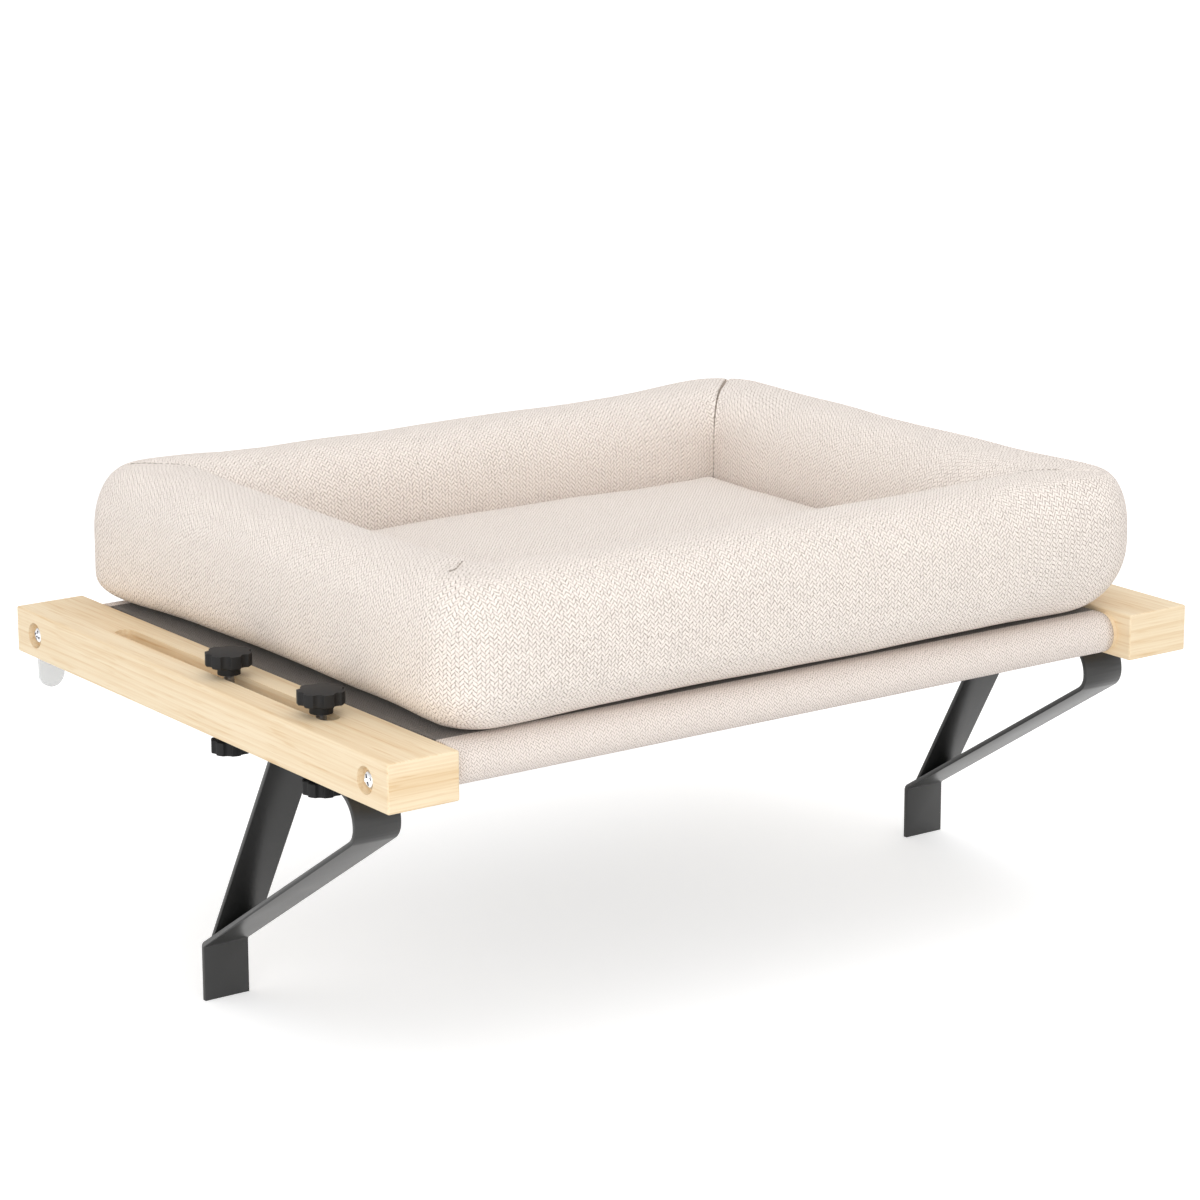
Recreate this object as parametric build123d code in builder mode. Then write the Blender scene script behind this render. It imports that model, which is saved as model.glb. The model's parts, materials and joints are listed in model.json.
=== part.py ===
"""Cat bed that rests on top of a radiator and hooks over its front and back.

X runs along the radiator, -Y is the room side, +Y the wall side and +Z is up.
Z = 0 is the underside of the side rails, where they rest on the radiator.
"""
import math
import os
from build123d import *

os.makedirs("parts", exist_ok=True)

# Side rails: flat timber bars with a long slot for the bracket studs
overall_width = 550
rail_length = 400
rail_width = 43.5
rail_thickness = 27
rail_edge_radius = 1.2
slot_width = 11.4
slot_length = 230

# Round dowels between the rails and the screws through the rails into their ends
dowel_diameter = 22
dowel_setback = 21.7
screw_diameter = 5
screw_length = 66
screw_head_diameter = 9.5
screw_head_height = 3.4
screw_head_crown = 1.3
counterbore_diameter = 15
counterbore_depth = 5.2
fit_clearance = 0.05

# Sling cloth: a sheet with a sewn sleeve round each dowel
cloth_thickness = 0.8
sling_end_gap = 3.6
seam_distance = 34
seam_width = 8

# Brackets: a bent flat bar and a straight strut welded inside it
bar_width = 28.2
bar_thickness = 2.8
bracket_gap = 0.2
bracket_front = 156
flange_rear = 8
upper_bend_radius = 20
lower_bend_radius = 12
diagonal_start_depth = 27.3
diagonal_end_depth = 129
tab_depth = 160.8
tab_front = 4.6
tab_bend_radius = 2
stud_hole_diameter = 6.6
strut_thickness = 2.7
strut_top_y = -71.2
strut_foot_setback = 9.2

# Clamp studs, star knobs above the rail and star nuts below it
stud_diameter = 6
stud_end_chamfer = 0.5
rear_stud_y = -6.5
stud_spacing = 95.2
knob_diameter = 25.8
knob_height = 8
knob_hub_diameter = 12.7
knob_hub_height = 5
knob_gap = 1.2
knob_crown = 0.7
stud_grip = 9.5
nut_diameter = 21.6
nut_height = 8.3
nut_hub_diameter = 13
nut_hub_height = 5
nut_gap = 0.15
nut_crown = 0.6
nut_floor = 1.0
stud_end_gap = 1.4
insert_diameter = 9
insert_length = 9
lobes = 7
scallop_radius_share = 0.27
scallop_centre_share = 1.13
lobe_edge_radius_share = 0.05
star_edge_share = 0.045
knob_turn_degrees = 27

# Clear back plates that drop behind the radiator, and their screws
plate_width = 16
plate_thickness = 3
plate_drop = 25.4
plate_rise = 23
plate_edge_radius = 0.8
plate_screw_diameter = 3.5
plate_screw_length = 14
plate_head_diameter = 7
plate_head_height = 2.4
plate_head_crown = 0.9
plate_screw_heights_share = (0.28, 0.72)

# Cushion: a padded floor inside a stuffed rim of four mitred bolsters
cushion_overhang = 14.5
cushion_depth = 400
cushion_centre_x = 3
cushion_centre_y = 6
cushion_gap = 0.3
rim_width = 70
rim_height = 79
rim_corner_drop = 3
rim_top_radius = 32
rim_inner_radius = 26
rim_bottom_radius = 34
rim_corner_radius = 43
side_draw_in = 9
end_draw_in = 5
pad_thickness = 34
pad_crown = 7
pad_edge_crown = 2

# Sections along a bolster, counted in corner radii from its corner, and the share of
# the draw-in that each has; one more section lies at the middle
station_shares = (0.15, 0.2929, 0.6, 1.0, 1.6, 2.6)
draw_in_shares = (0.0, 0.0, 0.02, 0.15, 0.82, 0.98)

cut_overrun = 2

# Places worked out from the sizes above
sides = {"left": -1, "right": 1}
rail_x = (overall_width - rail_width) / 2
inner_x = overall_width / 2 - rail_width
end_y = rail_length / 2
dowel_y = end_y - dowel_setback
dowel_z = rail_thickness / 2
stud_places = {"rear": rear_stud_y, "front": rear_stud_y - stud_spacing}
flange_bottom_z = -bracket_gap - bar_thickness
hub_bottom_z = rail_thickness + knob_gap
nut_top_z = flange_bottom_z - nut_gap
nut_bottom_z = nut_top_z - nut_hub_height - nut_height
stud_top_z = hub_bottom_z + stud_grip
stud_bottom_z = nut_bottom_z + nut_floor + stud_end_gap
plate_screw_z = [share * rail_thickness for share in plate_screw_heights_share]
sling_top_z = dowel_z + dowel_diameter / 2 + fit_clearance + cloth_thickness
cushion_width = 2 * (inner_x + cushion_overhang)


def save(piece, label):
    """Name a finished piece and write its STEP file."""
    piece.part.label = label
    export_step(piece.part, f"parts/{label}.step")


def screw_body(head_plane, head_diameter, head_height, head_crown, diameter, length):
    """Pan head on a plain shank: the plane lies under the head and faces out of it."""
    head_radius = head_diameter / 2
    crown_radius = (head_radius**2 + head_crown**2) / (2 * head_crown)
    half_angle = math.asin(head_radius / crown_radius) / 2
    crown_middle = (
        crown_radius * math.sin(half_angle),
        head_height - crown_radius * (1 - math.cos(half_angle)),
    )
    side_direction = head_plane.x_dir.cross(head_plane.z_dir)
    with BuildPart() as body:
        with BuildSketch(Plane(head_plane.origin, x_dir=head_plane.x_dir, z_dir=side_direction)):
            with BuildLine():
                Polyline(
                    (0, head_height),
                    (0, -length),
                    (diameter / 2, -length),
                    (diameter / 2, 0),
                    (head_radius, 0),
                    (head_radius, head_height - head_crown),
                )
                ThreePointArc(
                    (head_radius, head_height - head_crown),
                    crown_middle,
                    (0, head_height),
                )
            make_face()
        revolve(axis=Axis(head_plane.origin, head_plane.z_dir))
    return body


def bent_bar_face(plane, corners, radii, thickness):
    """Side view of a bar bent at each corner, drawn along its outer face."""
    points = [Vector(*corner) for corner in corners]
    runs = [(end - start).normalized() for start, end in zip(points, points[1:])]
    normals = [Vector(-run.Y, run.X) for run in runs]
    inner = [points[0] + normals[0] * thickness]
    inner_radii = []
    for point, radius, before, after in zip(points[1:], radii, normals, normals[1:]):
        inner.append(point + (before + after) * (thickness / (1 + before.dot(after))))
        turns_inward = before.cross(after).Z > 0
        inner_radii.append(radius - thickness if turns_inward else radius + thickness)
    inner.append(points[-1] + normals[-1] * thickness)
    with BuildSketch(plane) as section:
        with BuildLine():
            FilletPolyline(*points, radius=radii)
            FilletPolyline(*inner, radius=inner_radii)
            Line(points[0], inner[0])
            Line(points[-1], inner[-1])
        make_face()
    return section.sketch


def star_outline(plane, radius, turn_degrees):
    """Round outline with evenly spaced scallops that leave blunt lobes between them."""
    with BuildSketch(plane) as outline:
        Circle(radius)
        with PolarLocations(radius * scallop_centre_share, lobes, start_angle=turn_degrees):
            Circle(radius * scallop_radius_share, mode=Mode.SUBTRACT)
        fillet(outline.vertices(), radius * lobe_edge_radius_share)
    return outline.sketch


def star_grip(plane, radius, height, crown, turn_degrees):
    """Star-shaped grip with a softly domed outer face and eased rims."""
    edge = radius * star_edge_share
    sphere_radius = (radius**2 + crown**2) / (2 * crown)
    with BuildPart() as grip:
        extrude(star_outline(plane, radius, turn_degrees), amount=height)
        chamfer(grip.edges().filter_by(Axis.Z, reverse=True), edge)
        with Locations(plane * Location((0, 0, height - sphere_radius))):
            Sphere(sphere_radius, mode=Mode.INTERSECT)
    return grip.part


def sleeve_outline(way, radius, tip_setback, tip_width, tip_top_z, tip_height):
    """Loop round a dowel, drawn to a tip under the sheet."""
    tip_y = way * (dowel_y - tip_setback + tip_width / 2)
    tip_z = tip_top_z - tip_height / 2
    with BuildSketch() as outline:
        with Locations((way * dowel_y, dowel_z)):
            Circle(radius)
        with Locations((tip_y, tip_z)):
            Rectangle(tip_width, tip_height)
        make_hull()
    return outline.sketch


# Side rails
for side, way in sides.items():
    with BuildPart() as rail:
        with BuildSketch(Plane.XY):
            with Locations((way * rail_x, 0)):
                Rectangle(rail_width, rail_length)
        extrude(amount=rail_thickness)
        fillet(rail.edges(), rail_edge_radius)
        with BuildSketch(Plane.XY):
            with Locations((way * rail_x, 0)):
                SlotOverall(slot_length, slot_width, rotation=90)
        extrude(amount=rail_thickness, mode=Mode.SUBTRACT)
        outer_face = Plane((way * overall_width / 2, 0, dowel_z), x_dir=(0, way, 0), z_dir=(way, 0, 0))
        with Locations(outer_face):
            with Locations((-dowel_y, 0), (dowel_y, 0)):
                CounterBoreHole(
                    screw_diameter / 2 + fit_clearance,
                    counterbore_diameter / 2,
                    counterbore_depth,
                    rail_width + cut_overrun,
                )
        back_face = Plane((way * rail_x, end_y, 0), x_dir=(-1, 0, 0), z_dir=(0, 1, 0))
        with Locations(back_face):
            with Locations(*[(0, height) for height in plate_screw_z]):
                Hole(plate_screw_diameter / 2 + fit_clearance, plate_screw_length + fit_clearance)
    save(rail, f"{side}_rail")

# Round dowels, drilled in both ends for the rail screws
screw_reach = screw_length - (rail_width - counterbore_depth)
for end, way in {"front": -1, "rear": 1}.items():
    with BuildPart() as dowel:
        with BuildSketch(Plane.YZ.offset(-inner_x)):
            with Locations((way * dowel_y, dowel_z)):
                Circle(dowel_diameter / 2)
        extrude(amount=2 * inner_x)
        for hole_way in sides.values():
            end_face = Plane((hole_way * inner_x, way * dowel_y, dowel_z), z_dir=(hole_way, 0, 0))
            with Locations(end_face):
                Hole(screw_diameter / 2 + fit_clearance, screw_reach + fit_clearance)
    save(dowel, f"{end}_dowel")

# Rail screws, one at each end of each dowel
seat_x = overall_width / 2 - counterbore_depth
for side, way in sides.items():
    for end, end_way in {"front": -1, "rear": 1}.items():
        seat = Plane((way * seat_x, end_way * dowel_y, dowel_z), x_dir=(0, way, 0), z_dir=(way, 0, 0))
        screw = screw_body(
            seat, screw_head_diameter, screw_head_height, screw_head_crown, screw_diameter, screw_length
        )
        save(screw, f"{side}_{end}_rail_screw")

# Sling cloth
sleeve_radius = dowel_diameter / 2 + fit_clearance
with BuildPart() as sling:
    with BuildSketch(Plane.YZ.offset(-inner_x + sling_end_gap)):
        with Locations((0, sling_top_z - cloth_thickness / 2)):
            Rectangle(2 * (dowel_y - seam_distance + seam_width), cloth_thickness)
        for way in (-1, 1):
            add(
                sleeve_outline(
                    way,
                    sleeve_radius + cloth_thickness,
                    seam_distance,
                    seam_width,
                    sling_top_z,
                    2 * cloth_thickness,
                )
            )
        for way in (-1, 1):
            add(
                sleeve_outline(
                    way,
                    sleeve_radius,
                    seam_distance - seam_width - cloth_thickness,
                    cloth_thickness,
                    sling_top_z - cloth_thickness,
                    cloth_thickness / 2,
                ),
                mode=Mode.SUBTRACT,
            )
    extrude(amount=2 * (inner_x - sling_end_gap))
save(sling, "sling_cloth")

# Brackets: the bent bar is drawn along its room-side face, the strut along its middle
diagonal_run = bracket_front + tab_front
diagonal_fall = diagonal_end_depth - diagonal_start_depth
diagonal_length = math.hypot(diagonal_run, diagonal_fall)
diagonal_rise = bar_thickness * diagonal_length / diagonal_run
strut_foot_y = tab_front - strut_foot_setback
strut_foot_z = -diagonal_end_depth + diagonal_fall / diagonal_run * strut_foot_setback + diagonal_rise
for side, way in sides.items():
    bar_plane = Plane.YZ.offset(way * rail_x - bar_width / 2)
    with BuildPart() as bar:
        extrude(
            bent_bar_face(
                bar_plane,
                (
                    (flange_rear, -bracket_gap),
                    (-bracket_front, -bracket_gap),
                    (-bracket_front, -diagonal_start_depth),
                    (tab_front, -diagonal_end_depth),
                    (tab_front, -tab_depth),
                ),
                (upper_bend_radius, lower_bend_radius, tab_bend_radius),
                bar_thickness,
            ),
            amount=bar_width,
        )
        with BuildSketch(Plane.XY.offset(flange_bottom_z - cut_overrun)):
            with Locations(*[(way * rail_x, stud_y) for stud_y in stud_places.values()]):
                Circle(stud_hole_diameter / 2)
        extrude(amount=bar_thickness + bracket_gap + 2 * cut_overrun, mode=Mode.SUBTRACT)
    save(bar, f"{side}_bracket_bar")

    strut_run = strut_foot_y - strut_top_y
    strut_fall = flange_bottom_z - strut_foot_z
    half_run = strut_thickness / 2 * math.hypot(strut_run, strut_fall) / strut_fall
    foot_slope = diagonal_fall / diagonal_run
    foot_rear = half_run / (1 + foot_slope * -strut_run / strut_fall)
    foot_front = half_run / (1 - foot_slope * -strut_run / strut_fall)
    with BuildPart() as strut:
        with BuildSketch(bar_plane):
            with BuildLine():
                Polyline(
                    (strut_top_y - half_run, flange_bottom_z),
                    (strut_top_y + half_run, flange_bottom_z),
                    (strut_foot_y + foot_front, strut_foot_z - foot_slope * foot_front),
                    (strut_foot_y - foot_rear, strut_foot_z + foot_slope * foot_rear),
                    close=True,
                )
            make_face()
        extrude(amount=bar_width)
    save(strut, f"{side}_bracket_strut")

# Clamp sets: two along each rail
insert_bottom_z = nut_top_z - insert_length
for side, way in sides.items():
    for place, stud_y in stud_places.items():
        name = f"{side}_{place}"
        with BuildPart() as stud:
            with BuildSketch(Plane((way * rail_x, stud_y, stud_bottom_z))):
                Circle(stud_diameter / 2)
            extrude(amount=stud_top_z - stud_bottom_z)
            chamfer(stud.edges(), stud_end_chamfer)
        save(stud, f"{name}_stud")

        hub_plane = Plane((way * rail_x, stud_y, hub_bottom_z))
        with BuildPart() as knob:
            with BuildSketch(hub_plane):
                Circle(knob_hub_diameter / 2)
            extrude(amount=knob_hub_height + knob_height / 2)
            add(
                star_grip(
                    hub_plane.offset(knob_hub_height),
                    knob_diameter / 2,
                    knob_height,
                    knob_crown,
                    knob_turn_degrees,
                )
            )
            with BuildSketch(hub_plane):
                Circle(stud_diameter / 2 + fit_clearance)
            extrude(amount=stud_grip + fit_clearance, mode=Mode.SUBTRACT)
        save(knob, f"{name}_knob")

        insert_plane = Plane((way * rail_x, stud_y, insert_bottom_z))
        with BuildPart() as insert:
            with BuildSketch(insert_plane):
                Circle(insert_diameter / 2)
                Circle(stud_diameter / 2 + fit_clearance, mode=Mode.SUBTRACT)
            extrude(amount=insert_length)
        save(insert, f"{name}_nut_insert")

        nut_plane = Plane((way * rail_x, stud_y, nut_top_z), x_dir=(1, 0, 0), z_dir=(0, 0, -1))
        with BuildPart() as nut:
            with BuildSketch(nut_plane):
                Circle(nut_hub_diameter / 2)
            extrude(amount=nut_hub_height + nut_height / 2)
            add(
                star_grip(
                    nut_plane.offset(nut_hub_height),
                    nut_diameter / 2,
                    nut_height,
                    nut_crown,
                    knob_turn_degrees,
                )
            )
            with BuildSketch(nut_plane):
                Circle(insert_diameter / 2 + fit_clearance)
            extrude(amount=insert_length + fit_clearance, mode=Mode.SUBTRACT)
            with BuildSketch(nut_plane):
                Circle(stud_hole_diameter / 2)
            extrude(amount=nut_hub_height + nut_height - nut_floor, mode=Mode.SUBTRACT)
        save(nut, f"{name}_star_nut")

# Clear back plates with two screws each
for side, way in sides.items():
    plate_plane = Plane((way * rail_x, end_y, 0), x_dir=(-1, 0, 0), z_dir=(0, 1, 0))
    with BuildPart() as plate:
        with BuildSketch(plate_plane):
            with Locations((0, (plate_rise - plate_drop) / 2)):
                SlotOverall(plate_drop + plate_rise, plate_width, rotation=90)
            with Locations(*[(0, height) for height in plate_screw_z]):
                Circle(plate_screw_diameter / 2 + fit_clearance, mode=Mode.SUBTRACT)
        extrude(amount=plate_thickness)
        back_rim = plate.faces().sort_by(Axis.Y)[-1].outer_wire().edges()
        fillet(back_rim, plate_edge_radius)
    save(plate, f"{side}_back_plate")

    with BuildPart() as plate_screws:
        for height in plate_screw_z:
            seat = Plane(
                (way * rail_x, end_y + plate_thickness, height), x_dir=(-1, 0, 0), z_dir=(0, 1, 0)
            )
            add(
                screw_body(
                    seat,
                    plate_head_diameter,
                    plate_head_height,
                    plate_head_crown,
                    plate_screw_diameter,
                    plate_thickness + plate_screw_length,
                ).part
            )
    save(plate_screws, f"{side}_back_plate_screws")

# Cushion rim: each bolster runs from corner to corner and is mitred at both ends
cushion_z = sling_top_z + cushion_gap
left_x = cushion_centre_x - cushion_width / 2
right_x = cushion_centre_x + cushion_width / 2
front_y = cushion_centre_y - cushion_depth / 2
back_y = cushion_centre_y + cushion_depth / 2
bolsters = {
    "front": ((left_x, front_y), (1, 0), cushion_width, end_draw_in),
    "right": ((right_x, front_y), (0, 1), cushion_depth, side_draw_in),
    "back": ((right_x, back_y), (-1, 0), cushion_width, end_draw_in),
    "left": ((left_x, back_y), (0, -1), cushion_depth, side_draw_in),
}
for side, (corner, along, length, draw_in) in bolsters.items():
    inward = (-along[1], along[0])
    near = [
        (share * rim_corner_radius, draw_in * draw_share, rim_height - rim_corner_drop * (1 - draw_share))
        for share, draw_share in zip(station_shares, draw_in_shares)
    ]
    middle = [(length / 2, draw_in, rim_height)]
    far = [(length - run, pull, height) for run, pull, height in reversed(near)]
    with BuildPart() as bolster:
        for run, pull, height in near + middle + far:
            lead = max(rim_corner_radius - min(run, length - run), 0)
            rounding = rim_corner_radius - math.sqrt(rim_corner_radius**2 - lead**2)
            shift = rounding + pull
            wall = rim_width + rounding
            start = (
                corner[0] + along[0] * run,
                corner[1] + along[1] * run,
                cushion_z,
            )
            foot = (shift + rim_bottom_radius, 0)
            inner_shoulder = (wall, height - rim_inner_radius)
            crest_inner = (wall - rim_inner_radius, height)
            crest_outer = (shift + rim_top_radius, height)
            outer_shoulder = (shift, height - rim_top_radius)
            outer_low = (shift, rim_bottom_radius)
            with BuildSketch(Plane(start, x_dir=(*inward, 0), z_dir=(*along, 0))):
                with BuildLine():
                    Polyline(foot, (wall, 0), inner_shoulder)
                    RadiusArc(inner_shoulder, crest_inner, -rim_inner_radius)
                    Line(crest_inner, crest_outer)
                    RadiusArc(crest_outer, outer_shoulder, -rim_top_radius)
                    Line(outer_shoulder, outer_low)
                    RadiusArc(outer_low, foot, -rim_bottom_radius)
                make_face()
        loft(ruled=True)
        far_corner = (corner[0] + along[0] * length, corner[1] + along[1] * length, 0)
        split(
            bisect_by=Plane((*corner, 0), z_dir=(along[0] - inward[0], along[1] - inward[1], 0)),
            keep=Keep.TOP,
        )
        split(
            bisect_by=Plane(far_corner, z_dir=(-along[0] - inward[0], -along[1] - inward[1], 0)),
            keep=Keep.TOP,
        )
    save(bolster, f"cushion_{side}_bolster")

# Cushion floor, crowned towards its middle
pad_half_depth = cushion_depth / 2 - rim_width
pad_stations = (
    (left_x + rim_width, pad_edge_crown),
    (cushion_centre_x, pad_crown),
    (right_x - rim_width, pad_edge_crown),
)
with BuildPart() as pad:
    for pad_x, crown in pad_stations:
        with BuildSketch(Plane((pad_x, cushion_centre_y, cushion_z), x_dir=(0, 1, 0), z_dir=(1, 0, 0))):
            with BuildLine():
                Line((-pad_half_depth, 0), (pad_half_depth, 0))
                Line((pad_half_depth, 0), (pad_half_depth, pad_thickness))
                ThreePointArc(
                    (pad_half_depth, pad_thickness), (0, pad_thickness + crown), (-pad_half_depth, pad_thickness)
                )
                Line((-pad_half_depth, pad_thickness), (-pad_half_depth, 0))
            make_face()
    loft()
save(pad, "cushion_floor_pad")
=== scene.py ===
"""Looks of the radiator cat bed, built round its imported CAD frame. Metres, X right, Z up."""

import json
import math
from collections import namedtuple

import bmesh
import bpy
import numpy as np
from mathutils import Matrix, Vector, noise

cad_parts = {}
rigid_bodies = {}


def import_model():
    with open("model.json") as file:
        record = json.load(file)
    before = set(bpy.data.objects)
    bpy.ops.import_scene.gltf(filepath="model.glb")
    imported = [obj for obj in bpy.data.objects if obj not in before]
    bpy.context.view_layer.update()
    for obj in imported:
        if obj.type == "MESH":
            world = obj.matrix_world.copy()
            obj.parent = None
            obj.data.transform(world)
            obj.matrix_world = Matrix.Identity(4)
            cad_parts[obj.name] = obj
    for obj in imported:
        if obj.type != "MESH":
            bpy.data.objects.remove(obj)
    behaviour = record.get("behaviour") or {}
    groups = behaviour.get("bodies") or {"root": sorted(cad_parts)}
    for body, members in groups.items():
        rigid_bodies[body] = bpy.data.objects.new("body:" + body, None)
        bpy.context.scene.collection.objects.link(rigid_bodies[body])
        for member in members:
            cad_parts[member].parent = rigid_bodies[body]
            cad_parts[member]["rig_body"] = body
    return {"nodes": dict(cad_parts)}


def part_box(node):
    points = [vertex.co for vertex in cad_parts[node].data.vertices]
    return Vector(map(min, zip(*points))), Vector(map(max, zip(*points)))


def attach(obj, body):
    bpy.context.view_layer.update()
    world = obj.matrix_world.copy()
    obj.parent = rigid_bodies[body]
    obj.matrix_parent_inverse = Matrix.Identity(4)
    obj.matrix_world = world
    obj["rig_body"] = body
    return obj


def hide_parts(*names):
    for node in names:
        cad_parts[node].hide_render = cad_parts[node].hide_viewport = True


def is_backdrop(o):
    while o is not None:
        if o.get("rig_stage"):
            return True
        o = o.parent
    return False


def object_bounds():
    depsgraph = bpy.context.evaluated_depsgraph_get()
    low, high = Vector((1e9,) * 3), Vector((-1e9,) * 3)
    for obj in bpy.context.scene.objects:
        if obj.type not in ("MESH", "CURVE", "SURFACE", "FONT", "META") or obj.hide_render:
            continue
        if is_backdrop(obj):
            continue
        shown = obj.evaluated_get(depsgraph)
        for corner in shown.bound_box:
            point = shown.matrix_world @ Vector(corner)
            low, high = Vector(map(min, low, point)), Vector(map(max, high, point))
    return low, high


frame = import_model()
cad_low, cad_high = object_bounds()

MM = 0.001
SIDES = {"left": -1, "right": 1}
CLAMPS = [f"{side}_{end}" for side in SIDES for end in ("rear", "front")]
GEOMETRY, MATERIAL = "NodeSocketGeometry", "NodeSocketMaterial"


def set_all(item, settings):
    """Set the properties of a node, modifier or other item."""
    for name, value in settings.items():
        setattr(item, name, value)


# Node helpers; inputs are named with _ for a space, or numbered
def spaced(name):
    """Label of an input or output."""
    return name.replace("_", " ") if isinstance(name, str) else name


def fill(node, inputs):
    """Link or set a node's inputs."""
    for name, value in inputs.items():
        socket = node.inputs[spaced(name)]
        if isinstance(value, bpy.types.NodeSocket):
            node.id_data.links.new(value, socket)
        else:
            socket.default_value = value


def place(kind, inputs=None, tree=None, **settings):
    """Add a node to the tree, or else beside what feeds it; gives its outputs."""
    inputs = inputs or {}
    tree = tree or next(v.id_data for v in inputs.values() if isinstance(v, bpy.types.NodeSocket))
    node = tree.nodes.new(kind)
    set_all(node, settings)
    fill(node, inputs)
    return node.outputs


def calc(operation, *values, clamp=False):
    """Result of a Math node."""
    inputs = dict(enumerate(values))
    return place("ShaderNodeMath", inputs, operation=operation, use_clamp=clamp)[0]


def vector_calc(operation, *values):
    """Vector that a Vector Math node puts out."""
    return place("ShaderNodeVectorMath", dict(enumerate(values)), operation=operation)[0]


def parts_of(vector):
    """X, Y and Z of a vector."""
    return place("ShaderNodeSeparateXYZ", {"Vector": vector})


def vector_of(x=0.0, y=0.0, z=0.0):
    """Vector from its X, Y and Z."""
    return place("ShaderNodeCombineXYZ", {"X": x, "Y": y, "Z": z})[0]


def clouds(vector, scale, detail):
    """Outputs of a noise texture."""
    return place("ShaderNodeTexNoise", {"Vector": vector, "Scale": scale, "Detail": detail})


def mix_colour(share, first, second, blend="MIX"):
    """Blend two colours by a share."""
    inputs = {0: share, 6: first, 7: second}
    return place("ShaderNodeMix", inputs, data_type="RGBA", blend_type=blend)[2]


def ramp(factor, stops):
    """Colour ramp with the given (place, colour) stops."""
    node = factor.id_data.nodes.new("ShaderNodeValToRGB")
    fill(node, {"Fac": factor})
    elements = node.color_ramp.elements
    while len(elements) < len(stops):
        elements.new(1.0)
    for element, (position, colour) in zip(elements, stops):
        element.position = position
        element.color = (*colour, 1)
    return node.outputs["Color"]


def socket_type(default):
    """Kind of socket that holds a default value; a string names the kind itself."""
    if isinstance(default, str):
        return default
    if isinstance(default, tuple):
        return "NodeSocketVector" if len(default) == 3 else "NodeSocketColor"
    return "NodeSocketInt" if isinstance(default, int) else "NodeSocketFloat"


def new_group(kind, name, **inputs):
    """Node group with named inputs, each a default value or a kind of socket."""
    tree = bpy.data.node_groups.new(name, kind)
    for label, default in inputs.items():
        socket = tree.interface.new_socket(
            spaced(label), in_out="INPUT", socket_type=socket_type(default)
        )
        if not isinstance(default, str):
            socket.default_value = default
    return tree, tree.nodes.new("NodeGroupInput").outputs


def lead_out(tree, **outputs):
    """Give the group its named outputs and link them."""
    kinds = {"RGBA": "NodeSocketColor", "GEOMETRY": GEOMETRY}
    for label, source in outputs.items():
        kind = kinds.get(source.type, "NodeSocketFloat")
        tree.interface.new_socket(label, in_out="OUTPUT", socket_type=kind)
    fill(tree.nodes.new("NodeGroupOutput"), outputs)
    return tree


def stitch_weave_group():
    """Columns of plump slanted stitches that lean left and right by turns, each one its own."""
    tree, ins = new_group(
        "ShaderNodeTree", "stitch_weave", Vector=(0, 0, 0), Column_Width=0.002,
        Stitch_Length=0.0016, Slant=1.0, Unevenness=0.3,
    )
    per_metre = calc("DIVIDE", 1.0, ins["Column Width"])

    def blots(per_column, detail):
        """Noise with about so many blots to a column's width."""
        return clouds(ins["Vector"], calc("MULTIPLY", per_metre, per_column), detail)

    def swing(value):
        """-1 to 1 within each whole step."""
        return calc("MULTIPLY_ADD", calc("FRACT", value), 2.0, -1.0)

    def from_middle(value, power):
        """0 in the middle of a swing, 1 at both ends."""
        return calc("POWER", calc("ABSOLUTE", value), power)

    # The yarn wanders a little off its straight columns
    shift = vector_calc("SUBTRACT", blots(0.4, 2.0)["Color"], (0.5, 0.5, 0.5))
    reach = calc("MULTIPLY", ins["Column Width"], ins["Unevenness"])
    offset = place("ShaderNodeVectorMath", {0: shift, "Scale": reach}, operation="SCALE")[0]
    axes = parts_of(vector_calc("ADD", ins["Vector"], offset))

    # Columns lean by turns, and each starts a little higher or lower
    column = calc("DIVIDE", axes["X"], ins["Column Width"])
    index = calc("FLOOR", column)
    across = swing(column)
    odd = calc("MODULO", calc("ABSOLUTE", index), 2.0)
    lean = calc("MULTIPLY", calc("MULTIPLY_ADD", odd, 2.0, -1.0), ins["Slant"])
    row = calc("DIVIDE", axes["Y"], ins["Stitch Length"])
    slanted = calc("MULTIPLY_ADD", calc("MULTIPLY", lean, across), 0.5, row)
    half_down = calc("MULTIPLY_ADD", odd, 0.5, slanted)
    column_seed = place("ShaderNodeTexWhiteNoise", {"W": index}, noise_dimensions="1D")["Value"]
    staggered = calc("MULTIPLY_ADD", column_seed, 0.22, half_down)
    along = swing(staggered)

    # Each stitch is a rounded nub of its own height
    cell = vector_of(index, calc("FLOOR", staggered))
    seed = place("ShaderNodeTexWhiteNoise", {"Vector": cell}, noise_dimensions="2D")["Value"]
    gap = calc("MULTIPLY_ADD", seed, 0.7, 0.2)
    apart = calc("MULTIPLY", from_middle(across, 3.0), gap)
    round_across = calc("SUBTRACT", 1.0, apart, clamp=True)
    round_along = calc("MULTIPLY_ADD", from_middle(along, 2.6), -0.95, 1.0)
    nub = calc("MULTIPLY", round_along, round_across)
    plump = calc("MULTIPLY", nub, calc("MULTIPLY_ADD", seed, 0.5, 0.6))

    # Fibres and soft patches over it all
    fibre, patch = blots(3.0, 3.0)["Fac"], blots(1.2, 2.0)["Fac"]
    fuzzy = calc("MULTIPLY_ADD", fibre, 0.3, plump)
    mottle = calc("MULTIPLY_ADD", patch, 0.5, calc("MULTIPLY", seed, 0.12))
    flecked = calc("MULTIPLY_ADD", fibre, 0.5, mottle)
    height = calc("MULTIPLY_ADD", patch, 1.1, fuzzy)
    # Tone is low in the gaps between the stitches, which paints their shade, and is mottled at
    # random by fibres and patches
    return lead_out(tree, Height=height, Tone=calc("MULTIPLY_ADD", nub, 0.62, flecked))


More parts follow.
